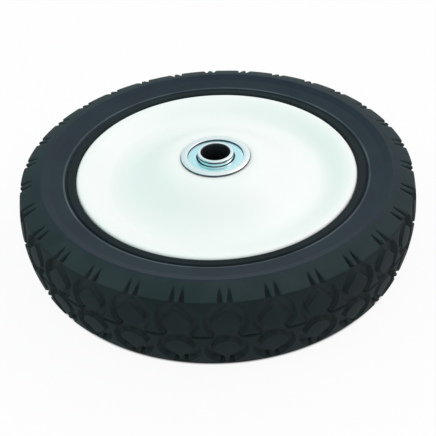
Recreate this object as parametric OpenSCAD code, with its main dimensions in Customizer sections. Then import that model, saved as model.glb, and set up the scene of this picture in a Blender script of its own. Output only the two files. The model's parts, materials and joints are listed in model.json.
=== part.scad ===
// Small machine wheel: rubber tyre with a block tread, two pressed steel half shells, and two flanged
// ball bearings that share one spacer tube. The wheel lies flat, its axle along +Z. The origin is on the
// axle line, in the plane that the lower sidewall rests on, and the front side faces up.

/* [Tyre] */
// Diameter over the middle of the tread
tyre_d = 177.8; // [150:0.1:210]
// Width over the two sidewall crests
tyre_w = 38.1; // [34:0.1:44]
// How far the tread falls away from its middle to its edge, on the radius
crown_drop = 2.3; // [1:0.1:4]
// How far the shoulder edge lies below the sidewall crest
shoulder_drop = 2.95; // [2:0.05:4]
// Diameter of the sidewall crest
crest_d = 155.4; // [150:0.1:160]
// Diameter of the thin groove between the bead lip and the sidewall
bead_groove_d = 133.2; // [130:0.1:136]

/* [Tread] */
// Number of tread repeats round the tyre
pitches = 30; // [24:1:32]
// Depth of the tread grooves
tread_depth = 2.4; // [1.5:0.1:3]
// Radius of the round groove's outer edge
ring_r = 8.6; // [7.5:0.1:8.7]
// Radius of the block inside each round groove
pad_r = 5.5; // [4.5:0.1:6]
// Distance of a block's centre from the shoulder edge
pad_inset = 8.8; // [8:0.1:9.5]
// Distance between the two shoulder slots of a pair, centre to centre
slot_gap = 3.9; // [3.5:0.1:5]
// Width of a shoulder slot where it runs out
slot_w = 0.6; // [0.3:0.1:1]
// Width of a shoulder slot at its foot, just below the shoulder edge
slot_foot_w = 2.3; // [0.8:0.1:2.8]
// Diameter at which the shoulder slots run out
slot_end_d = 160.4; // [158:0.1:166]
// Width of the groove round the middle of the tread
centre_groove_w = 1.1; // [0.6:0.1:2]
// Direction of the first tread repeat, in degrees from +X towards +Y
tread_turn = 6.4; // [0:0.1:12]

/* [Discs] */
// Thickness of the pressed sheet
sheet_t = 1.2; // [0.8:0.1:1.6]
// Diameter of the rolled rim bead
disc_d = 125; // [120:0.1:128]
// Radius of the rim bead's outer surface
bead_r = 1.6; // [1.3:0.1:2]
// Outer diameter of the skirt that the tyre sits on
skirt_d = 120.6; // [116:0.1:122]
// Diameter of the valley round the dome
valley_d = 94; // [80:0.5:100]
// Depth of the valley below the rim bead
valley_drop = 6; // [3:0.1:8]
// Diameter of the flat land under the bearing flange
land_d = 35; // [33:0.1:42]
// How far each skirt runs past the middle of the wheel
skirt_lap = 3; // [2:0.1:5]

/* [Hub] */
// Length of the hub over the two bearing collars
hub_l = 41.3; // [38:0.1:48]
// How far the front collar stands above the sidewall crest
hub_stand = 4.65; // [2:0.05:6]
// Wall thickness of the hub tube
hub_wall = 1.2; // [1:0.1:2]

/* [Bearings] */
// Diameter of the axle bore
bore_d = 12.7; // [9.5:0.05:13]
// Diameter of the bearing flange
flange_d = 30.7; // [30:0.1:34]
// Thickness of the bearing flange
flange_t = 1; // [0.8:0.1:1.2]
// Diameter of the barrel that is pressed into the hub tube
barrel_d = 28.58; // [28.4:0.02:29]
// Depth of the barrel below the flange
barrel_l = 7.4; // [7:0.1:9]
// Diameter of the mouth inside the flange
mouth_d = 24.8; // [24:0.1:25.5]
// Diameter of a ball
ball_d = 4.76; // [4.5:0.02:4.8]
// Number of balls in a bearing
ball_count = 13; // [9:1:13]
// Diameter of the circle through the ball centres
ball_circle_d = 21.8; // [21.6:0.1:22]
// Gap between a ball and its groove
ball_gap = 0.14; // [0.1:0.01:0.18]
// Outer diameter of the collar at its top
collar_d = 15.9; // [15:0.1:16.2]
// Height of the collar above the seat of the flange
collar_h = 2.7; // [2:0.1:4]
// Bore of the dust shield
shield_bore_d = 17.2; // [17:0.1:17.6]
// Thickness of the dust shield
shield_t = 0.6; // [0.4:0.1:0.8]

/* [Hidden] */
BALLS = [for (i = [1 : ball_count]) i];
$fn = 120;
eps = 0.01;

// Heights of the wheel, from the plane that it rests on
mid_z = tyre_w / 2;
shoulder_z = tyre_w - shoulder_drop;
front_seat_z = tyre_w + hub_stand - collar_h;
back_seat_z = tyre_w + hub_stand - hub_l + collar_h;

// Tyre section
tyre_r = tyre_d / 2;
shoulder_r = tyre_r - crown_drop;
crown_half_w = shoulder_z - mid_z;
crown_r = (crown_half_w * crown_half_w + crown_drop * crown_drop) / (2 * crown_drop);
crown_centre_r = tyre_r - crown_r;
crest_r = crest_d / 2;
skirt_r = skirt_d / 2;
disc_r = disc_d / 2;
bead_centre = [disc_r - bead_r, shoulder_z - bead_r];
bead_step = 140 / 9;
bead_groove_r = bead_groove_d / 2;
lip_r = disc_r + 0.35;
groove_floor_r = tyre_r - tread_depth - 0.5;
slot_end = [slot_end_d / 2, tyre_w - 0.35];
slot_foot = [shoulder_r - tread_depth * 0.85, shoulder_z - tread_depth * 0.8];

// Tread layout, in the plane that faces one repeat
pad_z = shoulder_z - pad_inset;
pitch_a = 360 / pitches;
groove_draft = 0.05;
slot_fall = 1.2;
slot_rise = 2.4;

// Bearing section, from the seat of the flange outwards
barrel_r = barrel_d / 2;
mouth_r = mouth_d / 2;
ball_circle_r = ball_circle_d / 2;
groove_r = ball_d / 2 + ball_gap;
ball_z = -3.2;
cup_r = ball_circle_r + groove_r;
race_r = 9.2;
race_top = -0.75;
race_end = -7;
spigot_r = 7.3;
spigot_l = 3;
retainer_r = 11.6;
retainer_top = ball_z - 1;
shield_top = 0.3;
spacer_r = 8.6;
bore_chamfer = 0.35;

function mirrored(points, z) = [for (i = [len(points) - 1 : -1 : 0]) [points[i][0], 2 * z - points[i][1]]];
function arc(c, r, a0, a1, n) = [for (i = [0 : n]) let (a = a0 + (a1 - a0) * i / n) c + r * [cos(a), sin(a)]];
function unit(v) = v / norm(v);

// Smooth step from height z0 at radius r0 to height z1 at radius r1, level at both ends
function eased(r0, z0, r1, z1, n) =
    [for (i = [0 : n]) [r0 + (r1 - r0) * i / n, z0 + (z1 - z0) * (1 - cos(180 * i / n)) / 2]];

// The path moved sideways to its right by t, which gives the far side of a bent sheet
function side_path(path, t) =
    [for (i = [0 : len(path) - 1])
        let (before = path[max(i - 1, 0)], after = path[min(i + 1, len(path) - 1)],
             way = unit(after - before))
        path[i] + t * [way[1], -way[0]]];
function reversed(points) = [for (i = [len(points) - 1 : -1 : 0]) points[i]];
function sheet(path, t) = concat(path, reversed(side_path(path, t)));

// Upper half of the tyre's section, from the seat over the bead and the sidewall to the tread edge. The
// tread face is cut to its crown afterwards.
tyre_half = concat(
    [[skirt_r, shoulder_z - 4.35]],
    arc(bead_centre, bead_r, -50, -50 + 4 * bead_step, 4),
    [[lip_r, shoulder_z - 0.1], [lip_r + 0.5, shoulder_z + 0.3]],
    [[bead_groove_r - 0.6, shoulder_z + 0.3], [bead_groove_r, shoulder_z - 0.5]],
    [[bead_groove_r + 0.8, shoulder_z + 0.4], [crest_r - 4, tyre_w - 1.35]],
    [[crest_r - 0.9, tyre_w], [crest_r + 0.6, tyre_w]],
    [[shoulder_r, shoulder_z], [tyre_r + 1, shoulder_z - 1]]);

module tyre_section() {
    intersection() {
        polygon(concat(tyre_half, mirrored(tyre_half, mid_z)));
        translate([crown_centre_r, mid_z]) circle(crown_r);
    }
}

// What the grooves and slots leave standing below the tread blocks
floor_half = [[0, tyre_w], slot_end,
    slot_end + (slot_foot - slot_end) * (groove_floor_r - slot_end[0]) / (slot_foot[0] - slot_end[0])];
module relief_section() {
    difference() {
        translate([slot_end[0] - 1, -0.5]) square([12, tyre_w + 1]);
        polygon(concat(floor_half, mirrored(floor_half, mid_z)));
    }
}

// A block with a square corner towards the shoulder and a round side towards the middle of the tread
module pad_shape() {
    intersection() {
        circle(pad_r);
        translate([-pad_r, -pad_r]) square([2 * pad_r, pad_r + eps]);
    }
    polygon([[-pad_r, 0], [pad_r, 0], [0, pad_r]]);
}

// A slot that starts just below the shoulder edge and narrows as it climbs the shoulder
module slot_shape() {
    foot = slot_foot_w / 2;
    end = slot_w / 2;
    polygon([[-foot, -slot_fall], [foot, -slot_fall], [end, slot_rise], [-end, slot_rise]]);
}

module half_pitch_shape() {
    translate([0, pad_z]) difference() {
        circle(ring_r);
        pad_shape();
    }
    for (side = [-1, 1]) translate([side * slot_gap / 2, shoulder_z]) slot_shape();
}

// Both rows of one repeat, as seen from outside along the radius. A round groove ends where the other
// row's block begins.
module pitch_shape() {
    half_pitch_shape();
    translate([0, 2 * mid_z]) mirror([0, 1]) half_pitch_shape();
}

// The groove round the middle narrows a little inwards, so that the tread leaves its mould
module centre_groove_section() {
    intersection() {
        relief_section();
        polygon([for (p = [[slot_end[0], -1], [tyre_r + 1, -1], [tyre_r + 1, 1], [slot_end[0], 1]])
            [p[0], mid_z + p[1] * (centre_groove_w / 2 + (p[0] - tyre_r) * groove_draft)]]);
    }
}

// What one repeat cuts away: two round grooves that leave a block inside, and four shoulder slots
module pitch_cutter() {
    intersection() {
        rotate([0, 0, -pitch_a / 2]) rotate_extrude(angle = pitch_a) relief_section();
        translate([slot_end[0] - 6, 0, 0]) rotate([90, 0, 90]) linear_extrude(20) pitch_shape();
    }
}

module tyre() {
    color([0.13, 0.15, 0.16]) difference() {
        rotate_extrude() tyre_section();
        for (i = [0 : pitches - 1]) rotate([0, 0, tread_turn + i * pitch_a]) pitch_cutter();
        rotate_extrude() centre_groove_section();
    }
}

// Outer surface of a half shell: hub land, dome, valley, web, rolled bead and the start of the skirt
function shell_path(seat_z) = concat(
    [[barrel_r, seat_z]],
    eased(land_d / 2, seat_z, valley_d / 2, shoulder_z - valley_drop, 16),
    [for (p = eased(valley_d / 2, shoulder_z - valley_drop, disc_r - bead_r, shoulder_z, 10))
        if (p[0] > valley_d / 2 + eps && p[0] < disc_r - bead_r - eps) p],
    arc(bead_centre, bead_r, 90, 90 - 9 * bead_step, 9),
    [[skirt_r + 0.25, shoulder_z - 3.9], [skirt_r, shoulder_z - 4.6]]);

module front_disc() {
    path = concat(shell_path(front_seat_z), [[skirt_r, mid_z - skirt_lap]]);
    color([0.93, 0.96, 0.95]) rotate_extrude() polygon(sheet(path, sheet_t));
}

// The back shell is the front one turned over, with a lower dome and a skirt necked to fit inside
module back_disc() {
    neck_z = mid_z + skirt_lap;
    path = concat(shell_path(2 * mid_z - back_seat_z),
        [[skirt_r, neck_z + 2.2], [skirt_r - sheet_t, neck_z + 0.4], [skirt_r - sheet_t, mid_z - skirt_lap]]);
    color([0.93, 0.96, 0.95]) translate([0, 0, 2 * mid_z]) mirror([0, 0, 1])
        rotate_extrude() polygon(sheet(path, sheet_t));
}

module hub_tube() {
    color([0.75, 0.77, 0.78]) translate([0, 0, back_seat_z + sheet_t]) difference() {
        cylinder(h = front_seat_z - back_seat_z - 2 * sheet_t, r = barrel_r + hub_wall);
        translate([0, 0, -1]) cylinder(h = front_seat_z - back_seat_z, r = barrel_r);
    }
}

// Ring whose pressed spigots join the two inner races, so that the axle nut clamps all three
module spacer_tube() {
    color([0.7, 0.72, 0.74]) translate([0, 0, back_seat_z - race_end]) difference() {
        cylinder(h = front_seat_z - back_seat_z + 2 * race_end, r = spacer_r);
        translate([0, 0, -1]) cylinder(h = front_seat_z - back_seat_z, r = spigot_r);
    }
}

module ball_groove() { translate([ball_circle_r, ball_z]) circle(groove_r); }

// The four rings of one bearing, drawn with the flange seat at height 0 and the wheel's outside up
module outer_race() {
    color([0.86, 0.88, 0.9]) rotate_extrude() difference() {
        polygon([[mouth_r, ball_z], [mouth_r, flange_t - 0.25], [mouth_r + 0.25, flange_t],
                 [flange_d / 2 - 0.35, flange_t], [flange_d / 2, flange_t - 0.35], [flange_d / 2, 0],
                 [barrel_r, 0], [barrel_r, -barrel_l], [cup_r, -barrel_l], [cup_r, ball_z]]);
        ball_groove();
    }
}

module inner_race() {
    bore_r = bore_d / 2;
    collar_r = collar_d / 2;
    color([0.84, 0.86, 0.87]) rotate_extrude() difference() {
        polygon([[bore_r, race_end - spigot_l], [bore_r, collar_h - bore_chamfer],
                 [bore_r + bore_chamfer, collar_h], [collar_r - 0.2, collar_h],
                 [collar_r, collar_h - 0.2], [collar_r + 0.25, race_top], [race_r, race_top],
                 [race_r, race_end], [spigot_r, race_end], [spigot_r, race_end - spigot_l]]);
        ball_groove();
    }
}

module shield() {
    color([0.78, 0.85, 0.87]) translate([0, 0, shield_top - shield_t]) difference() {
        cylinder(h = shield_t, r = mouth_r);
        translate([0, 0, -1]) cylinder(h = shield_t + 2, d = shield_bore_d);
    }
}

module retainer() {
    color([0.6, 0.62, 0.64]) rotate_extrude() difference() {
        translate([retainer_r, -barrel_l]) square([cup_r - retainer_r, retainer_top + barrel_l]);
        ball_groove();
    }
}

module ball(i) {
    color([0.9, 0.9, 0.92]) rotate([0, 0, 360 * i / ball_count]) translate([ball_circle_r, 0, ball_z])
        sphere(d = ball_d, $fn = 32);
}

module at_front() { translate([0, 0, front_seat_z]) children(); }
module at_back() { translate([0, 0, back_seat_z]) rotate([180, 0, 0]) children(); }

tyre();
front_disc();
back_disc();
hub_tube();
spacer_tube();
at_front() outer_race();  // front_outer_race
at_front() inner_race();  // front_inner_race
at_front() shield();  // front_shield
at_front() retainer();  // front_retainer
at_back() outer_race();  // back_outer_race
at_back() inner_race();  // back_inner_race
at_back() shield();  // back_shield
at_back() retainer();  // back_retainer
for (i = BALLS) at_front() ball(i);
for (i = BALLS) at_back() ball(i);
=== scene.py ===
# %% [markdown]
# # A small wheel for a garden machine
# The wheel lies flat: a black rubber tyre with a block tread, two white enamelled half shells of pressed
# steel, and a bright ball bearing in the middle. Nearly every piece of it is a section turned about the
# axle, so this lesson is about drawing good sections, and about one piece that can't be turned: the tread.
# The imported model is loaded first, because it says where each piece sits and what it moves with.

# %% Load the frame
import json
import math

import bmesh
import bpy
import numpy as np
from mathutils import Matrix, Vector
from mathutils.geometry import delaunay_2d_cdt


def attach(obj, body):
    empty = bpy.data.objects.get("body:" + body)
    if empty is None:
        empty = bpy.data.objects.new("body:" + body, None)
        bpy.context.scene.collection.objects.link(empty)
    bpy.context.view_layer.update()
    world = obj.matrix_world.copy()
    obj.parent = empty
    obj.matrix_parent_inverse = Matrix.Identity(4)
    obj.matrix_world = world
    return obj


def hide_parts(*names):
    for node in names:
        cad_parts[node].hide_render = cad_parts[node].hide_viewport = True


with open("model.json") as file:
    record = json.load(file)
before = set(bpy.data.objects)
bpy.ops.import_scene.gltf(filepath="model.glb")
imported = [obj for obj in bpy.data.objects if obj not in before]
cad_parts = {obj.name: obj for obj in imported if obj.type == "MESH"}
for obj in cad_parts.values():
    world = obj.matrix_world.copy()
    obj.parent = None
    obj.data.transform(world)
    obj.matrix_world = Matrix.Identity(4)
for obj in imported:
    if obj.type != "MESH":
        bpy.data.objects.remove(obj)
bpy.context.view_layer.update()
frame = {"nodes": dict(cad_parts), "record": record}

MM = 0.001

# %% [markdown]
# ## Real sizes
# Sections are drawn in millimetres, as (distance from the axle, height above the floor). The wheel is the
# same above and below its middle plane, apart from the height of the two hub lands, so most sections are
# drawn once for the side that faces up and mirrored for the other. The shoulder is the tread's edge, which
# is as high as the disc's rim. The crest is the highest ring of the sidewall. A seat is the height of the
# hub land that a bearing's flange rests on. TREAD_TURN is where the first repeat of the tread stands, in
# degrees.

# %% Sizes of the wheel
TYRE_R = 88.9
TYRE_W = 38.1
MID_Z = TYRE_W / 2
SHOULDER_Z = 35.15
SHOULDER_R = 86.6
CREST_R = 77.7
DISC_R = 62.5
SKIRT_R = 60.3
SHEET = 1.2
FRONT_SEAT_Z = 40.05
BACK_SEAT_Z = 4.15
COLLAR_TOP = 2.7
LIP_R = DISC_R + 0.35
REPEATS = 30
TREAD_TURN = 6.4
hub_length = FRONT_SEAT_Z - BACK_SEAT_Z + 2 * COLLAR_TOP
print("wheel", 2 * TYRE_R, "mm across,", TYRE_W, "mm wide, hub", round(hub_length, 2), "mm long")

# %% [markdown]
# ## Helpers for sections
# A pressed or turned edge is never quite sharp, and the thin bright line that it catches is what makes metal
# look like metal. So a corner of a section is given as (r, z, radius), and is replaced by a short arc.

# %% Arcs, rounded corners and smooth steps
def arc(centre, radius, start, end, steps):
    """Points on an arc, with the angles in degrees."""
    angles = np.radians(np.linspace(start, end, steps + 1))
    return [(centre[0] + radius * math.cos(a), centre[1] + radius * math.sin(a)) for a in angles]


def rounded(corners, steps=4):
    """A closed section whose corners (r, z, radius) are rounded; without a radius they stay sharp."""
    outline = []
    count = len(corners)
    for i, corner in enumerate(corners):
        here = Vector(corner[:2])
        radius = corner[2] if len(corner) > 2 else 0
        if radius == 0:
            outline.append(tuple(here))
            continue
        back = (Vector(corners[i - 1][:2]) - here).normalized()
        ahead = (Vector(corners[(i + 1) % count][:2]) - here).normalized()
        half = back.angle(ahead) / 2
        reach = radius / math.tan(half)
        centre = here + (back + ahead).normalized() * radius / math.sin(half)
        first = here + back * reach - centre
        last = here + ahead * reach - centre
        for k in range(steps + 1):
            outline.append(tuple(centre + first.normalized().slerp(last.normalized(), k / steps) * radius))
    return outline


def eased(start, end, steps):
    """A smooth step between two points, level at both ends."""
    points = []
    for k in range(steps + 1):
        share = k / steps
        rise = (1 - math.cos(math.pi * share)) / 2
        points.append((start[0] + (end[0] - start[0]) * share, start[1] + (end[1] - start[1]) * rise))
    return points


def thickened(path, thickness):
    """The closed section of a bent sheet: the path, and the same path moved to its right.

    Where the path bends away more tightly than the sheet is thick, the moved path folds over itself.
    """
    points = np.array(path)
    way = np.gradient(points, axis=0)
    way /= np.linalg.norm(way, axis=1)[:, None]
    inner = points + thickness * np.column_stack([way[:, 1], -way[:, 0]])
    return [tuple(p) for p in points] + [tuple(p) for p in inner[::-1]]


def turned_over(outline):
    """The same section on the other side of the wheel's middle plane."""
    return [(r, 2 * MID_Z - z) for r, z in reversed(outline)]


print("a 1 mm corner becomes", len(rounded([(0, 0), (10, 0, 1), (10, 10), (0, 10)])) - 3, "points")

# %% [markdown]
# ## Turning a section into a mesh
# A lathe makes the real rings, and a Screw modifier would do the same here. Building the quads directly from
# two numpy grids is as short, and it keeps the ring closed with no doubled seam to weld.

# %% Turn a closed section about the axle
WELD = 0.002 * MM


def mesh_piece(name, points, faces, sharp_degrees=35):
    """A mesh object from points in millimetres, smooth apart from edges sharper than the angle."""
    mesh = bpy.data.meshes.new(name)
    mesh.from_pydata([tuple(p) for p in np.asarray(points) * MM], [], faces)
    shaped = bmesh.new()
    shaped.from_mesh(mesh)
    bmesh.ops.remove_doubles(shaped, verts=shaped.verts, dist=WELD)
    bmesh.ops.recalc_face_normals(shaped, faces=shaped.faces)
    shaped.to_mesh(mesh)
    shaped.free()
    mesh.shade_smooth()
    mesh.set_sharp_from_angle(angle=math.radians(sharp_degrees))
    piece = bpy.data.objects.new(name, mesh)
    bpy.context.scene.collection.objects.link(piece)
    return piece


def turned_grid(outline, steps, turn=0.0, closed=True):
    """Points and quads of a section swept once round the axle."""
    section = np.array(outline)
    angles = math.radians(turn) + np.arange(steps) * 2 * math.pi / steps
    r, z = section[:, 0], section[:, 1]
    points = [(a * math.cos(t), a * math.sin(t), b) for t in angles for a, b in zip(r, z)]
    count = len(section)
    faces = []
    for s in range(steps):
        here, there = s * count, (s + 1) % steps * count
        for k in range(count if closed else count - 1):
            nxt = (k + 1) % count
            faces.append((here + k, there + k, there + nxt, here + nxt))
    return points, faces


def turned(name, outline, steps=192):
    """A ring with this section, as a new piece."""
    piece = mesh_piece(name, *turned_grid(outline, steps))
    print(name, len(piece.data.polygons), "faces")
    return piece


print("points closer than", WELD / MM, "mm are welded")

# %% [markdown]
# ## The two discs
# Each half shell is one sheet of steel pressed into a dome, a valley and a rolled rim bead, with a skirt that
# carries the tyre. A subdivision surface could round a coarse press shape, but the real form is a smooth
# step up to the hub land, so two eased steps and one arc give it exactly, thickened like the sheet. The land
# is sunk by SINK under the bearing's flange, and a ring as wide as GAP is left open round the flange, which
# draws a dark line there. The step is so tight that the sheet's underside folds over itself by a millimetre,
# inside the wheel where nothing shows it. The back shell's skirt is necked by the sheet's thickness, so it
# enters the front one's across the middle plane.

# %% Press the discs
BEAD_R = 1.6
BEAD = (DISC_R - BEAD_R, SHOULDER_Z - BEAD_R)
BEAD_END = -50
BARREL_R = 14.29
FLANGE_R = 15.35
LAND_R = 17.5
SINK = 0.45
GAP = 0.15
EASE = 0.05
VALLEY_R = 47.0
VALLEY_Z = SHOULDER_Z - 6.0
SKIRT_TOP_Z = SHOULDER_Z - 4.6
OVERLAP = 3.0
NECK_R = SKIRT_R - SHEET
DISC_STEPS = 256


def shell_section(seat_z, skirt):
    """A half shell from the hub out: sunk seat, land, dome, valley, bead and skirt."""
    sunk_z = seat_z - SINK
    step_r = FLANGE_R + GAP
    path = [(BARREL_R, sunk_z), (FLANGE_R, sunk_z), (step_r, sunk_z)]
    path += [(step_r + GAP, seat_z - EASE), (step_r + GAP + 2 * EASE, seat_z)]
    path += eased((LAND_R, seat_z), (VALLEY_R, VALLEY_Z), steps=44)
    path += eased((VALLEY_R, VALLEY_Z), (BEAD[0], SHOULDER_Z), steps=20)[1:]
    path += arc(BEAD, BEAD_R, 90, BEAD_END, steps=16)[1:]
    path += [(SKIRT_R + 0.25, SKIRT_TOP_Z + 0.7), (SKIRT_R, SKIRT_TOP_Z)] + skirt
    return thickened(path, SHEET)


skirt_end = MID_Z - OVERLAP
neck_top = MID_Z + OVERLAP
front_skirt = [(SKIRT_R, skirt_end)]
back_skirt = [(SKIRT_R, neck_top + 2.2), (NECK_R, neck_top + 0.4), (NECK_R, skirt_end)]
front_disc = turned("front_disc_enamelled", shell_section(FRONT_SEAT_Z, front_skirt), DISC_STEPS)
back_section = turned_over(shell_section(2 * MID_Z - BACK_SEAT_Z, back_skirt))
back_disc = turned("back_disc_enamelled", back_section, DISC_STEPS)

# %% [markdown]
# ## The bearings
# Each bearing shows three rings: the outer ring with its flange on the disc, the sunk dust shield, and the
# inner ring, whose collar stands up round the bore. All three are turned or pressed steel, so they are
# sections again, with small rounded corners that catch the light, and a turned line round the collar.
# The barrel sits in the hub tube, the mouth is the opening that the shield closes, and the spigot is the
# inner ring's far end, which holds the spacer tube. Heights count from the flange's seat.

# %% Sections of the bearing rings
BORE_R = 6.35
COLLAR_R = 8.0
# Below this height the collar's wall is painted dark as shade.
PAINTED_SHADE_TOP = 0.4
LINE_LOW = 1.5
LINE_TOP = 2.05
LINE_R = 7.86
RACE_R = 9.2
RACE_TOP = -0.75
RACE_END = -7.0
SPIGOT_R = 7.3
SPIGOT_END = -10.0
MOUTH_R = 12.4
FLANGE_TOP = 1.0
BARREL_END = -7.4
SHIELD_R = 8.6
SHIELD_HALF = 0.3
BALL_CIRCLE_R = 10.9
BALL_Z = -3.2
GROOVE_R = 2.52
CUP_R = BALL_CIRCLE_R + GROOVE_R


def groove(start, end):
    """The ball groove between two angles, as corners that stay sharp."""
    return [(r, z, 0) for r, z in arc((BALL_CIRCLE_R, BALL_Z), GROOVE_R, start, end, steps=14)]


mouth_angle = math.degrees(math.acos((MOUTH_R - BALL_CIRCLE_R) / GROOVE_R))
race_angle = math.degrees(math.acos((BALL_CIRCLE_R - RACE_R) / GROOVE_R))
flange = [(MOUTH_R, FLANGE_TOP - 0.06, 0.3), (13.6, FLANGE_TOP, 0.8), (FLANGE_R, FLANGE_TOP - 0.18, 0.3),
          (FLANGE_R, 0, 0.1)]
barrel = [(BARREL_R, 0, 0), (BARREL_R, BARREL_END, 0.2), (CUP_R, BARREL_END, 0.1)]
outer_ring = rounded(flange + barrel + groove(0, mouth_angle))

spigot = [(BORE_R, SPIGOT_END, 0.2), (SPIGOT_R, SPIGOT_END, 0.2), (SPIGOT_R, RACE_END, 0),
          (RACE_R, RACE_END, 0.2)]
collar = [(RACE_R, RACE_TOP, 0.15), (8.2, RACE_TOP, 0.1), (8.11, PAINTED_SHADE_TOP, 0), (8.04, LINE_LOW, 0)]
line = [(LINE_R, LINE_LOW + 0.05, 0), (LINE_R, LINE_TOP - 0.05, 0), (COLLAR_R, LINE_TOP, 0)]
collar_end = [(7.95, COLLAR_TOP, 0.3), (BORE_R, COLLAR_TOP, 0.35)]
inner_ring = rounded(spigot + groove(180 + race_angle, 180 - race_angle) + collar + line + collar_end)

shield_ring = rounded([(SHIELD_R, -SHIELD_HALF, 0.05), (MOUTH_R, -SHIELD_HALF, 0.05),
                       (MOUTH_R, SHIELD_HALF, 0.05), (SHIELD_R, SHIELD_HALF, 0.15)])
print("sections of", len(outer_ring), len(inner_ring), "and", len(shield_ring), "points")

# %% [markdown]
# The back bearing is the front one turned over, on the back's seat.

# %% Turn the bearing rings
def seated(outline, side):
    """A bearing section moved to its seat on the front or the back of the wheel."""
    if side == "front":
        return [(r, FRONT_SEAT_Z + z) for r, z in outline]
    return [(r, BACK_SEAT_Z - z) for r, z in reversed(outline)]


rings = {}
for side in ("front", "back"):
    rings[side + "_outer_race"] = turned(side + "_flanged_ring", seated(outer_ring, side))
    rings[side + "_inner_race"] = turned(side + "_collar_ring", seated(inner_ring, side))
    rings[side + "_shield"] = turned(side + "_dust_shield", seated(shield_ring, side))

# %% [markdown]
# ## The tread
# The tread is moulded: thirty repeats, each with two round grooves that leave a pointed block inside. A
# boolean cut gives razor edges and poor faces. A mould gives sloped walls and soft edges, which is the same
# as a height map, so each repeat is drawn flat as level lines round its grooves, triangulated between them,
# and then wrapped on the tyre. Flat, u runs round the tyre and v across it, both in millimetres: v is 0 in
# the middle, ROW_V along a row of blocks, EDGE_V on the tread's edge and CREST_V on the crest. Two slots to a
# repeat climb the shoulder on each side and run out on it, and they notch the wheel's outline.

# %% How far a point is from the nearest groove edge
PITCH = 2 * math.pi * TYRE_R / REPEATS
WALL = 0.35
EDGE_V = SHOULDER_Z - MID_Z
PAD_INSET = 8.8
ROW_V = EDGE_V - PAD_INSET
RING_R = 8.6
PAD_R = 5.5
SLOT_U = 1.95
SLOT_HALF = 1.15
SLOT_FLOOR = 0.7
SLOT_TIP = 0.4
CENTRE_HALF = 0.55
SEAM_R = CREST_R + 0.6
BAND = math.hypot(SHOULDER_R - SEAM_R, TYRE_W - SHOULDER_Z)
CREST_V = EDGE_V + BAND
SLOT_START_V = EDGE_V - 1.2
SLOT_END_V = EDGE_V + 6.3


def slot_half(v):
    """Half a shoulder slot's width at the surface: widest on the tread's edge, narrow up the shoulder."""
    places = [SLOT_START_V, EDGE_V, SLOT_END_V, CREST_V]
    return float(np.interp(v, places, [SLOT_HALF - 0.05, SLOT_HALF, SLOT_TIP, 0.0]))


def groove_distance(u, v):
    """Distance to the nearest groove's edge: above 0 on the blocks, below 0 in the grooves.

    The pad is the block inside a round groove, a disc cut to a right-angled point. Across is the round
    groove of the other row. A slot's walls end where SLOT_FLOOR is left on each side of its middle.
    """
    row = abs(v) - ROW_V
    disc = math.hypot(u, row)
    pad = max(disc - PAD_R, (abs(u) + row - PAD_R) / math.sqrt(2))
    ring = max(disc - RING_R, -pad)
    across = math.hypot(u, abs(v) + ROW_V) - RING_R
    half_width = slot_half(abs(v))
    slot = abs(abs(u) - SLOT_U) - half_width
    if slot < 0:
        slot *= WALL / max(half_width - SLOT_FLOOR, WALL)
    slot = max(slot, SLOT_START_V - abs(v), abs(v) - SLOT_END_V)
    return min(ring, across, slot, abs(v) - CENTRE_HALF)


print("repeat", round(PITCH, 2), "mm long; a rib between grooves is",
      round(PITCH - 2 * RING_R, 2), "mm wide")

# %% [markdown]
# Level lines: each groove is outlined at six distances from its edge, which become the flat top, the
# rounded edge, the sloped wall and the floor. The slots are narrow and leave out the first and the last.
# Where lines of two grooves cross, the triangulation adds a point, and the height there comes from the
# distance, so crossings need no care.

# %% Draw the level lines of one repeat
LEVELS = {0.45: 0.0, 0.3: 0.0, 0.1: 0.05, 0.0: 0.14, -WALL: 0.93, -0.6: 1.0}
SLOT_LEVELS = sorted(LEVELS)[1:-1]
SLOT_ROWS = (SLOT_START_V, EDGE_V, EDGE_V + 1.2, EDGE_V + 2.6, EDGE_V + 4.4, SLOT_END_V)
CENTRE_STEP = 0.9


def circle_line(centre_v, radius, steps=56):
    """A round groove's outline, closed."""
    return [(radius * math.cos(a), centre_v + radius * math.sin(a))
            for a in np.linspace(0, 2 * math.pi, steps + 1)]


def pad_line(level, side, steps=33):
    """The pointed block's outline, moved inwards by the level; the point faces the shoulder."""
    radius = PAD_R - level
    slack = PAD_R - level * math.sqrt(2)
    corner = math.asin(min(1, slack / radius / math.sqrt(2))) - math.pi / 4
    angles = np.linspace(corner, -math.pi - corner, steps + 1)
    line = [(0, slack)] + [(radius * math.cos(a), radius * math.sin(a)) for a in angles] + [(0, slack)]
    return [(u, side * (ROW_V + w)) for u, w in line]


def split(start, end, length):
    """A straight line cut in steps no longer than the length."""
    steps = max(1, math.ceil(math.dist(start, end) / length))
    return [tuple(Vector(start).lerp(Vector(end), k / steps)) for k in range(steps + 1)]


def slot_line(level, mirror, edge, side):
    """One side of a slot at the level, from the round groove up the shoulder to the slot's end."""
    line = []
    for v in SLOT_ROWS:
        wide = slot_half(v)
        offset = wide + (level if level > 0 else level * max(wide - SLOT_FLOOR, WALL) / WALL)
        line.append((mirror * (SLOT_U + edge * max(offset, 0)), side * v))
    return line


half = PITCH / 2
lines = []
for level in LEVELS:
    centre = CENTRE_HALF + level
    for side in (1, -1):
        lines.append(circle_line(side * ROW_V, RING_R + level))
        lines.append(pad_line(level, side))
        if level in SLOT_LEVELS:
            lines += [slot_line(level, mirror, edge, side) for mirror in (1, -1) for edge in (1, -1)]
        if centre > 0:
            lines.append(split((-half, side * centre), (half, side * centre), CENTRE_STEP))
print(len(lines), "level lines")

# %% [markdown]
# The repeat's own border has the same points on its left and right, so that thirty copies weld into one
# ring, and a loose grid of points keeps the wide block tops following the tyre's curve.

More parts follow.
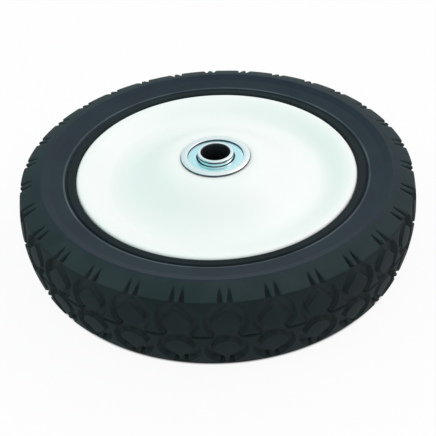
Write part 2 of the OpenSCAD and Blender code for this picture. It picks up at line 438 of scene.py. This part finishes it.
# %% Triangulate one repeat
ALONG = 8
EDGE_STEP = 0.8
GRID_STEP = 1.55
GRID_CLEAR = 0.9
GRID_START_U = 1.4 - half
GRID_START_V = 1.5 - CREST_V
GRID_MARGIN = 1.0
BORDER_START = 1.6
BORDER_POINTS = 20
HAIR = 1e-6
MERGE = 1e-4
cross = {round(v, 6) for line in lines for u, v in line if abs(abs(u) - half) < HAIR}
even = {round(side * v, 6) for v in np.linspace(BORDER_START, CREST_V, BORDER_POINTS) for side in (1, -1)}
border = sorted(cross | even)
for side in (-1, 1):
    lines.append([(side * half, v) for v in border])
    lines.append(split((-half, side * CREST_V), (half, side * CREST_V), PITCH / ALONG + HAIR))
    lines.append(split((-half, side * EDGE_V), (half, side * EDGE_V), EDGE_STEP))

flat, links = [], []
for line in lines:
    links += [(len(flat) + k, len(flat) + k + 1) for k in range(len(line) - 1)]
    flat += [Vector(p) for p in line]
for u in np.arange(GRID_START_U, half - GRID_MARGIN, GRID_STEP):
    for v in np.arange(GRID_START_V, CREST_V - GRID_MARGIN, GRID_STEP):
        if abs(groove_distance(u, v)) > GRID_CLEAR:
            flat.append(Vector((u, v)))
found = delaunay_2d_cdt(flat, links, [], 0, MERGE)
flat_points = [(p.x, p.y) for p in found[0]]
flat_faces = [tuple(f) for f in found[2]]
print("one repeat:", len(flat_points), "points,", len(flat_faces), "faces")

# %% [markdown]
# Wrapping: every flat point lies between two skins, the tyre's outside and the floor that the grooves are
# cut to. Its height share says how far it has gone from one to the other. The tread is a little crowned, and
# the shoulder bulges a quarter of a millimetre.

# %% Wrap the repeat on the tyre
CROWN_R = (EDGE_V ** 2 + (TYRE_R - SHOULDER_R) ** 2) / (2 * (TYRE_R - SHOULDER_R))
CROWN_AXIS_R = TYRE_R - CROWN_R
DEPTH = 2.4
BULGE = 0.25
BULGE_OUT = 0.33
BULGE_UP = 0.94
FLOOR_TURN_V = EDGE_V - 2.6
EDGE_FLOOR_R = SHOULDER_R - 2.02
EDGE_FLOOR_V = EDGE_V - 1.94


def crown(v):
    """The tread's distance from the axle, at the distance v from the middle."""
    return CROWN_AXIS_R + math.sqrt(CROWN_R ** 2 - v ** 2)


def outside(v):
    """(r, height above the middle plane) of the tyre's outside at the distance v from the middle."""
    side, v = math.copysign(1, v), abs(v)
    if v <= EDGE_V:
        return crown(v), side * v
    share = (v - EDGE_V) / BAND
    bulge = BULGE * math.sin(math.pi * share)
    r = SHOULDER_R + (SEAM_R - SHOULDER_R) * share
    rise = EDGE_V + (TYRE_W - SHOULDER_Z) * share
    return r + BULGE_OUT * bulge, side * (rise + BULGE_UP * bulge)


slot_end = outside(SLOT_END_V)
floor_v = [FLOOR_TURN_V, EDGE_V, SLOT_END_V]
floor_r = [crown(FLOOR_TURN_V) - DEPTH, EDGE_FLOOR_R, slot_end[0]]
floor_rise = [FLOOR_TURN_V, EDGE_FLOOR_V, slot_end[1]]


def floor_skin(v):
    """The same for the floor of the grooves, which rises to the shoulder's outside at the slots' end."""
    side, v = math.copysign(1, v), abs(v)
    if v <= FLOOR_TURN_V:
        return crown(v) - DEPTH, side * v
    if v >= SLOT_END_V:
        return outside(side * v)
    return np.interp(v, floor_v, floor_r), side * np.interp(v, floor_v, floor_rise)


levels, shares = zip(*sorted(LEVELS.items()))


def wrapped(u, v):
    """The place on the wheel of a flat point of the first repeat, before it is turned to its place."""
    share = float(np.interp(groove_distance(u, v), levels, shares))
    top, bottom = outside(v), floor_skin(v)
    r = top[0] + (bottom[0] - top[0]) * share
    z = top[1] + (bottom[1] - top[1]) * share
    angle = u / TYRE_R
    return r * math.cos(angle), r * math.sin(angle), MID_Z + z


cell = np.array([wrapped(u, v) for u, v in flat_points])
print("tread from", round(float(np.hypot(cell[:, 0], cell[:, 1]).min()), 2), "mm to",
      round(float(np.hypot(cell[:, 0], cell[:, 1]).max()), 2), "mm from the axle")

# %% [markdown]
# The rest of the tyre is a turned section: from the crest in over the step, the flat band, the thin groove
# and the bead lip, down to the seat on the disc. A low ridge runs beside the groove. The section has the
# same number of steps round as the tread's rim, so the two weld along the crest.

# %% Join thirty repeats and the sidewalls
GROOVE_MID = 66.6
RIDGE_IN = GROOVE_MID + 0.6
RIDGE_OUT = GROOVE_MID + 1.5
LIP_TOP = SHOULDER_Z + 0.3
SEAT_START = 12
step = [(SEAM_R, TYRE_W, 0), (CREST_R - 0.5, TYRE_W, 0.4), (CREST_R - 3.8, TYRE_W - 1.3, 0.5)]
ridge = [(RIDGE_OUT, SHOULDER_Z + 0.52, 0), (GROOVE_MID + 0.8, SHOULDER_Z + 0.4, 0.3)]
thin_groove = [(GROOVE_MID, SHOULDER_Z - 0.5, 0.12), (GROOVE_MID - 0.6, LIP_TOP, 0.25)]
lip = [(LIP_R + 0.5, LIP_TOP, 0.25), (LIP_R, SHOULDER_Z - 0.1, 0.2), (DISC_R - 0.02, SHOULDER_Z - 1.25, 0)]
side_path = rounded(step + ridge + thin_groove + lip, steps=5)
side_path += arc(BEAD, BEAD_R, SEAT_START, BEAD_END, steps=8)[1:] + [(SKIRT_R, SKIRT_TOP_Z + 0.25)]
side_path += turned_over(side_path)

first_turn = TREAD_TURN - 180 / REPEATS
side_points, side_faces = turned_grid(side_path, REPEATS * ALONG, first_turn, closed=False)
points, faces = [np.array(side_points)], list(side_faces)
base = len(side_points)
for k in range(REPEATS):
    angle = math.radians(TREAD_TURN) + 2 * math.pi * k / REPEATS
    spin = np.array(Matrix.Rotation(angle, 3, "Z"))
    points.append(cell @ spin.T)
    faces += [tuple(base + i for i in face) for face in flat_faces]
    base += len(cell)
tyre = mesh_piece("tyre_moulded", np.vstack(points), faces, sharp_degrees=50)
print(tyre.name, len(tyre.data.polygons), "faces")

# %% [markdown]
# ## What each piece stands for
# The new pieces hide the plain solids that they replace, and ride on the same bodies.

# %% Ride and replace
def stands_for(piece, node, body):
    """The piece rides on the body and takes the node's place, whose solid it hides."""
    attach(piece, body)
    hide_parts(node)


stands_for(tyre, "tyre", "wheel")
stands_for(front_disc, "front_disc", "wheel")
stands_for(back_disc, "back_disc", "wheel")
for side in ("front", "back"):
    stands_for(rings[side + "_outer_race"], side + "_outer_race", "wheel")
    stands_for(rings[side + "_inner_race"], side + "_inner_race", "axle_rings")
    stands_for(rings[side + "_shield"], side + "_shield", "wheel")
print("replaced", 3 + len(rings), "nodes")

# %% [markdown]
# ## Colours and nodes
# Colours are written as sRGB, the way a screen shows them, and Blender's shaders count in linear light. Every
# material is made of the same few nodes, so noise and a ramp between two tones get a helper each.

# %% Colour and node helpers
def linear(hex_colour):
    """Linear red, green and blue, and 1, from an sRGB colour such as #808080."""
    parts = [int(hex_colour[i:i + 2], 16) / 255 for i in (1, 3, 5)]
    return tuple(c / 12.92 if c <= 0.04045 else ((c + 0.055) / 1.055) ** 2.4 for c in parts) + (1.0,)


def node(tree, kind, links=(), **settings):
    """Adds a node. Links are (input, output socket); settings name an input or a property of the node."""
    made = tree.nodes.new(kind)
    for key, value in settings.items():
        if key in made.inputs:
            made.inputs[key].default_value = value
        else:
            setattr(made, key, value)
    for target, source in links:
        tree.links.new(source, made.inputs[target])
    return made


def new_material(name):
    """An empty material and its node tree."""
    material = bpy.data.materials.new(name)
    material.use_nodes = True
    material.node_tree.nodes.clear()
    return material, material.node_tree


def noise(tree, vector, size_mm, detail):
    """Noise with spots of about this size, from a vector in metres."""
    spots_per_metre = 1 / (size_mm * MM)
    made = node(tree, "ShaderNodeTexNoise", [("Vector", vector)], Scale=spots_per_metre, Detail=detail)
    return made.outputs["Fac"]


def ramp(tree, share, dark, light, start=0.0, end=1.0):
    """A colour that goes from dark to light while the share goes from start to end."""
    made = node(tree, "ShaderNodeValToRGB", [("Fac", share)])
    low, high = made.color_ramp.elements
    low.position = start
    low.color = linear(dark)
    high.position = end
    high.color = linear(light)
    return made.outputs["Color"]


WHITE = linear("#ffffff")
print("white is", WHITE, "and mid grey", [round(c, 3) for c in linear("#808080")[:3]])

# %% [markdown]
# ## Moulded rubber
# The tyre is carbon-black rubber pressed in a steel mould. It is nearly black, and what the eye sees is
# mostly the light that its skin gives back. So one rubber has five skins: satin and bluish on the sidewalls,
# where the mould is polished, dull on the shoulders, and matt on the blocks and the bead lip, where the mould
# is blasted. In the grooves a lighter rubber is painted light against their shade, and on the thin ridge
# beside the bead groove a grey rubber is a painted highlight.

# %% Rubber
def rubber(name, tones, smooth, dull, gloss, sheen):
    """Moulded rubber between two tones and two roughnesses, with a fine grain and a tinted sheen."""
    material, tree = new_material(name)
    position = node(tree, "ShaderNodeTexCoord").outputs["Object"]
    cloud = noise(tree, position, size_mm=14, detail=3.0)
    grain = noise(tree, position, size_mm=0.7, detail=2.0)
    colour = ramp(tree, cloud, *tones, start=0.35, end=0.7)
    rough = node(tree, "ShaderNodeMapRange", [("Value", cloud)], **{"To Min": smooth, "To Max": dull})
    skin = node(tree, "ShaderNodeBump", [("Height", grain)], Strength=0.25, Distance=0.05 * MM)
    shader = node(tree, "ShaderNodeBsdfPrincipled",
                  [("Base Color", colour), ("Roughness", rough.outputs["Result"]),
                   ("Normal", skin.outputs["Normal"])],
                  IOR=1.52, **{"Specular IOR Level": gloss, "Specular Tint": linear(sheen)})
    node(tree, "ShaderNodeOutputMaterial", [("Surface", shader.outputs["BSDF"])])
    return material


satin = rubber("satin_moulded_rubber", ("#161f23", "#1c272b"), smooth=0.48, dull=0.6, gloss=0.3,
               sheen="#b4d4fa")
shoulder = rubber("dull_shoulder_rubber", ("#253032", "#2d3739"), smooth=0.6, dull=0.72, gloss=0.13,
                  sheen="#bce0ea")
matt = rubber("matt_moulded_rubber", ("#141a1c", "#1c2325"), smooth=0.66, dull=0.78, gloss=0.22,
              sheen="#c8ecf0")
# Lighter rubber in the grooves, painted light against the shade that falls in them.
groove_painted_light = rubber("groove_rubber_painted_light", ("#252a2c", "#2c3234"), smooth=0.7, dull=0.8, gloss=0.22,
               sheen="#d4ecec")
# A lighter grey ring on the ridge beside the bead groove: a painted highlight.
ridge_painted_highlight = rubber("ridge_rubber_painted_highlight", ("#30393c", "#4c575a"), smooth=0.5, dull=0.6, gloss=0.3,
                 sheen="#d0e4ff")
rubbers = [satin, shoulder, matt, groove_painted_light, ridge_painted_highlight]
print("rubbers:", ", ".join(material.name for material in rubbers))

# %% [markdown]
# ## Enamel on pressed steel
# The discs are sprayed and baked white. Baked enamel is a smooth, glossy paint with a very faint ripple,
# called orange peel, of a few millimetres.

# %% Enamel
def baked_enamel(name, tones):
    """Glossy paint, a little uneven in tone, with orange peel."""
    material, tree = new_material(name)
    position = node(tree, "ShaderNodeTexCoord").outputs["Object"]
    ripple = noise(tree, position, size_mm=3, detail=1.0)
    drift = noise(tree, position, size_mm=40, detail=2.0)
    peel = node(tree, "ShaderNodeBump", [("Height", ripple)], Strength=0.12, Distance=0.05 * MM)
    shader = node(tree, "ShaderNodeBsdfPrincipled",
                  [("Base Color", ramp(tree, drift, *tones)), ("Normal", peel.outputs["Normal"])],
                  Roughness=0.36, IOR=1.5, **{"Specular IOR Level": 0.35})
    node(tree, "ShaderNodeOutputMaterial", [("Surface", shader.outputs["BSDF"])])
    return material


enamel = baked_enamel("white_baked_enamel", ("#f0f5f3", "#f4f7f6"))
print(enamel.name, "with", len(enamel.node_tree.nodes), "nodes")

# %% [markdown]
# ## Steel
# The rings are turned and then zinc plated: bright, a little cool, with fine circles left by the tool. In the
# bore, in the narrow gaps, on the flange's thin edge and in the turned line, a dark steel is painted on as
# shade. The shield is stamped from bright strip, the tubes are drawn, and the balls are ground to a mirror.

# %% Plated, pressed, drawn and ground steel, and steel painted as shade
def steel(name, tones, roughness, lines_mm, depth_mm):
    """A metal whose fine lines run round the axle, spaced by lines_mm."""
    material, tree = new_material(name)
    place = node(tree, "ShaderNodeSeparateXYZ",
                 [("Vector", node(tree, "ShaderNodeTexCoord").outputs["Object"])])
    square_x = node(tree, "ShaderNodeMath", [(0, place.outputs["X"]), (1, place.outputs["X"])],
                    operation="MULTIPLY")
    square = node(tree, "ShaderNodeMath", [(0, place.outputs["Y"]), (1, place.outputs["Y"]),
                                           (2, square_x.outputs[0])], operation="MULTIPLY_ADD")
    radius = node(tree, "ShaderNodeMath", [(0, square.outputs[0])], operation="SQRT")
    across = node(tree, "ShaderNodeCombineXYZ", [("X", radius.outputs[0]), ("Z", place.outputs["Z"])])
    lines = noise(tree, across.outputs[0], size_mm=lines_mm, detail=2.0)
    bump = node(tree, "ShaderNodeBump", [("Height", lines)], Strength=0.3, Distance=depth_mm * MM)
    shader = node(tree, "ShaderNodeBsdfPrincipled",
                  [("Base Color", ramp(tree, lines, *tones)), ("Normal", bump.outputs["Normal"])],
                  Metallic=1.0, Roughness=roughness)
    node(tree, "ShaderNodeOutputMaterial", [("Surface", shader.outputs["BSDF"])])
    return material


plated = steel("zinc_plated_steel", ("#e0ebe8", "#f4fbf9"), roughness=0.22, lines_mm=0.5, depth_mm=0.006)
pressed = steel("bright_pressed_steel", ("#bcecf0", "#d4f8fa"), roughness=0.3, lines_mm=0.8, depth_mm=0.004)
# A dark steel painted on as shade in the bore, the narrow gaps, the flange's thin edge and the turned line.
painted_shade_steel = steel("steel_painted_shade", ("#4c5258", "#62686e"), roughness=0.5, lines_mm=0.6, depth_mm=0.004)
drawn = steel("drawn_steel", ("#6f7274", "#85888a"), roughness=0.38, lines_mm=0.6, depth_mm=0.006)
ground = steel("ground_ball_steel", ("#d4d6d8", "#e2e4e6"), roughness=0.08, lines_mm=0.4, depth_mm=0.001)
print("steels:", ", ".join(material.name for material in (plated, pressed, painted_shade_steel, drawn, ground)))

# %% [markdown]
# Which finish a face gets follows from where it lies on its section: its distance from the axle, and how far
# it rises above the wheel's middle plane or above the flange's seat.

# %% Finish of a face
BLOCKS_IN = CREST_R + 2
SHOULDER_IN = CREST_R + 1
LIP_IN = DISC_R - 0.5
LIP_OUT = GROOVE_MID - 0.2
LIP_FOOT = EDGE_V - 1.2
TREAD_V = EDGE_V - 0.02
BLOCK_SKIN = 0.5
FLANGE_EDGE_R = FLANGE_R - 0.15
MOUTH_EDGE_R = MOUTH_R + 0.2
BORE_EDGE_R = BORE_R + 0.35
SHADED_R = RACE_R + 0.1
LINE_EDGE_R = COLLAR_R + 0.02
UPRIGHT = 0.6


def tyre_skin(radius, rise):
    """The rubber at this distance from the axle and from the middle plane."""
    if radius > BLOCKS_IN and rise < TREAD_V:
        return matt if radius > crown(rise) - BLOCK_SKIN else groove_painted_light
    if radius > SHOULDER_IN:
        return shoulder
    if LIP_IN < radius < LIP_OUT and rise > LIP_FOOT:
        return matt
    if RIDGE_IN < radius < RIDGE_OUT and rise > EDGE_V:
        return ridge_painted_highlight
    return satin


def outer_finish(radius, upright):
    """Plated, but painted shade on the flange's thin edge and in its mouth."""
    in_painted_shade = radius > FLANGE_EDGE_R or radius < MOUTH_EDGE_R
    return painted_shade_steel if upright and in_painted_shade else plated


def inner_finish(radius, rise):
    """Plated, but painted shade in the bore, beside the shield and in the turned line."""
    in_bore = radius < BORE_EDGE_R
    beside_shield = rise < PAINTED_SHADE_TOP and radius < SHADED_R
    in_line = LINE_LOW < rise < LINE_TOP and radius < LINE_EDGE_R
    return painted_shade_steel if in_bore or beside_shield or in_line else plated


def dress(piece, choices, finish_of):
    """Gives the piece its materials to choose from, and each face the one that finish_of picks."""
    for material in choices:
        piece.data.materials.append(material)
    for face in piece.data.polygons:
        face.material_index = choices.index(finish_of(face))


def radius_of(face):
    """A face's distance from the axle."""
    return math.hypot(face.center.x, face.center.y) / MM


def rise_of(face, seat_z=MID_Z):
    """How far out from the middle plane a face lies, or how far beyond a seat."""
    return abs(face.center.z / MM - MID_Z) - abs(seat_z - MID_Z)


print("a block's top is", tyre_skin(TYRE_R, 0).name)
print("a collar's end is", inner_finish(SPIGOT_R, COLLAR_TOP).name)

# %% [markdown]
# A face is upright when its normal lies nearly level. Every solid that stays as it is gets its finish here
# too, also those that are closed in.

# %% Put the finishes on
finishes = {"tyre_rubber": satin, "disc_enamel": enamel, "plated_steel": plated, "shield_steel": pressed,
            "ball_steel": ground, "tube_steel": drawn}
dress(tyre, rubbers, lambda face: tyre_skin(radius_of(face), rise_of(face)))
for disc in (front_disc, back_disc):
    disc.data.materials.append(enamel)
for side, seat_z in (("front", FRONT_SEAT_Z), ("back", BACK_SEAT_Z)):
    dress(rings[side + "_outer_race"], [plated, painted_shade_steel],
          lambda face: outer_finish(radius_of(face), abs(face.normal.z) < UPRIGHT))
    dress(rings[side + "_inner_race"], [plated, painted_shade_steel],
          lambda face: inner_finish(radius_of(face), rise_of(face, seat_z)))
    rings[side + "_shield"].data.materials.append(pressed)
slot_of = {part["node"]: part["material_slot"] for part in frame["record"]["subparts"]}
for name, solid in frame["nodes"].items():
    solid.data.materials.clear()
    solid.data.materials.append(finishes[slot_of[name]])
print(len(finishes), "finishes on", 3 + len(rings), "new pieces and", len(slot_of), "solids")

# %% [markdown]
# ## Floor, light and camera
# The wheel lies on a white sheet. To the camera the sheet glows nearly white and keeps a little of its own
# shading, so that the wheel still casts a soft shadow, and reflections see it glow half as much. Inside the
# tyre's foot it doesn't glow, and its paper is painted dark grey as shade: a glowing sheet would shine out of
# the narrow gap under the tyre's edge.

# %% White floor
FLOOR_HALF = 3000
FOOT_R = 85 * MM
FOOT_EDGE = 0.5 * MM
GLOSS_SHARE = 0.5
WHITE_SHARE = 0.92

corners = [(x * FLOOR_HALF, y * FLOOR_HALF, 0) for x, y in ((-1, -1), (1, -1), (1, 1), (-1, 1))]
floor = mesh_piece("floor", corners, [(0, 1, 2, 3)])
sheet, tree = new_material("white_sheet")
path = node(tree, "ShaderNodeLightPath")
seen = node(tree, "ShaderNodeMath", [(0, path.outputs["Is Glossy Ray"]), (2, path.outputs["Is Camera Ray"])],
            operation="MULTIPLY_ADD")
seen.inputs[1].default_value = GLOSS_SHARE
place = node(tree, "ShaderNodeNewGeometry").outputs["Position"]
from_axle = node(tree, "ShaderNodeVectorMath", [(0, place)], operation="LENGTH")
outside_painted_shade = node(tree, "ShaderNodeMapRange", [("Value", from_axle.outputs["Value"])],
              **{"From Min": FOOT_R - FOOT_EDGE, "From Max": FOOT_R + FOOT_EDGE, "To Max": WHITE_SHARE})
share = node(tree, "ShaderNodeMath", [(0, seen.outputs[0]), (1, outside_painted_shade.outputs["Result"])],
             operation="MULTIPLY")
# Paper painted dark grey as shade inside the tyre's foot, pale outside.
tone = ramp(tree, outside_painted_shade.outputs["Result"], "#4c4f50", "#f4f4f4")
paper = node(tree, "ShaderNodeBsdfDiffuse", [("Color", tone)])
glow = node(tree, "ShaderNodeEmission", Color=WHITE, Strength=1.0)
both = node(tree, "ShaderNodeMixShader", [(0, share.outputs[0]), (1, paper.outputs[0]), (2, glow.outputs[0])])
node(tree, "ShaderNodeOutputMaterial", [("Surface", both.outputs[0])])
floor.data.materials.append(sheet)
print(floor.name, "with", sheet.name)

# %% [markdown]
# The background is white as well. It lights the wheel softly, and in reflections it goes from pale blue on
# the left to white, which gives the bright metal something to show.

# %% Background
SKY_LEFT = -0.7
SKY_RIGHT = 0.3

world = bpy.data.worlds.new("studio")
bpy.context.scene.world = world
world.use_nodes = True
tree = world.node_tree
tree.nodes.clear()
path = node(tree, "ShaderNodeLightPath")
way = node(tree, "ShaderNodeSeparateXYZ",
           [("Vector", node(tree, "ShaderNodeTexCoord").outputs["Generated"])])
sweep = node(tree, "ShaderNodeMapRange", [("Value", way.outputs["X"])],
             **{"From Min": SKY_LEFT, "From Max": SKY_RIGHT})
tone = ramp(tree, sweep.outputs["Result"], "#b8dcec", "#ffffff")
mirrored = node(tree, "ShaderNodeBackground", [("Color", tone)], Strength=1.0)
soft = node(tree, "ShaderNodeBackground", Color=linear("#f1fdfa"), Strength=0.9)
white = node(tree, "ShaderNodeBackground", Color=WHITE, Strength=1.0)
unseen = node(tree, "ShaderNodeMixShader",
              [(0, path.outputs["Is Glossy Ray"]), (1, soft.outputs[0]), (2, mirrored.outputs[0])])
both = node(tree, "ShaderNodeMixShader",
            [(0, path.outputs["Is Camera Ray"]), (1, unseen.outputs[0]), (2, white.outputs[0])])
node(tree, "ShaderNodeOutputWorld", [("Surface", both.outputs[0])])
print(world.name, "with", len(tree.nodes), "nodes")

# %% [markdown]
# The background gives much of the light. A broad lamp high on the right makes the right of the dome the
# brightest, and a weaker one, high at the back right, lights the tyre's shoulder there. A weak green fill
# tints the dome's left flank, which is faintly green in the photograph too.

# %% Lamps
AIM = Vector((0, 0, 0.03))


def lamp(name, place, size, watts, colour):
    """A round lamp that faces the wheel."""
    data = bpy.data.lights.new(name, "AREA")
    data.shape = "DISK"
    data.size = size
    data.energy = watts
    data.color = linear(colour)[:3]
    made = bpy.data.objects.new(name, data)
    made.location = place
    made.rotation_euler = (AIM - Vector(place)).to_track_quat("-Z", "Y").to_euler()
    bpy.context.scene.collection.objects.link(made)


lamp("broad_lamp", place=(0.75, 0.1, 0.75), size=0.6, watts=2.2, colour="#ffc8dc")
lamp("back_lamp", place=(0.4, 0.45, 0.85), size=0.5, watts=1.0, colour="#fff0f0")
lamp("left_fill", place=(-0.9, -0.3, 0.5), size=0.8, watts=0.55, colour="#80ffb4")

# %% [markdown]
# The camera stands where the photograph's did. Its height angle, distance and lens were worked out from the
# ellipses of the rim and the disc; the hub's place in the picture says how far it is moved sideways.

# %% Camera
HEIGHT_DEG = 38.928
ROLL_DEG = -2.878
DISTANCE = 368.79 * MM
LENS_PX = 825.772
FRAME_PX = 436
HUB_PX = (216.052, 165.743)
SENSOR_MM = 36.0

height, roll = math.radians(HEIGHT_DEG), math.radians(ROLL_DEG)
toward = Vector((0, -math.cos(height), math.sin(height)))
level_right = Vector((1, 0, 0))
level_up = Vector((0, math.sin(height), math.cos(height)))
right = level_right * math.cos(roll) + level_up * math.sin(roll)
up = level_up * math.cos(roll) - level_right * math.sin(roll)
shift_x = (HUB_PX[0] - FRAME_PX / 2) * DISTANCE / LENS_PX
shift_y = -(HUB_PX[1] - FRAME_PX / 2) * DISTANCE / LENS_PX
hub = Vector((0, 0, SHOULDER_Z * MM))

camera_data = bpy.data.cameras.new("camera")
camera_data.sensor_width = SENSOR_MM
camera_data.lens = LENS_PX / FRAME_PX * SENSOR_MM
camera = bpy.data.objects.new("camera", camera_data)
bpy.context.scene.collection.objects.link(camera)
camera.location = hub + toward * DISTANCE - right * shift_x - up * shift_y
camera.rotation_euler = Matrix((right, up, toward)).transposed().to_euler()
bpy.context.scene.camera = camera
bpy.context.scene.view_settings.view_transform = "Standard"
print("camera at", [round(c, 3) for c in camera.location], "lens", round(camera_data.lens, 1), "mm")
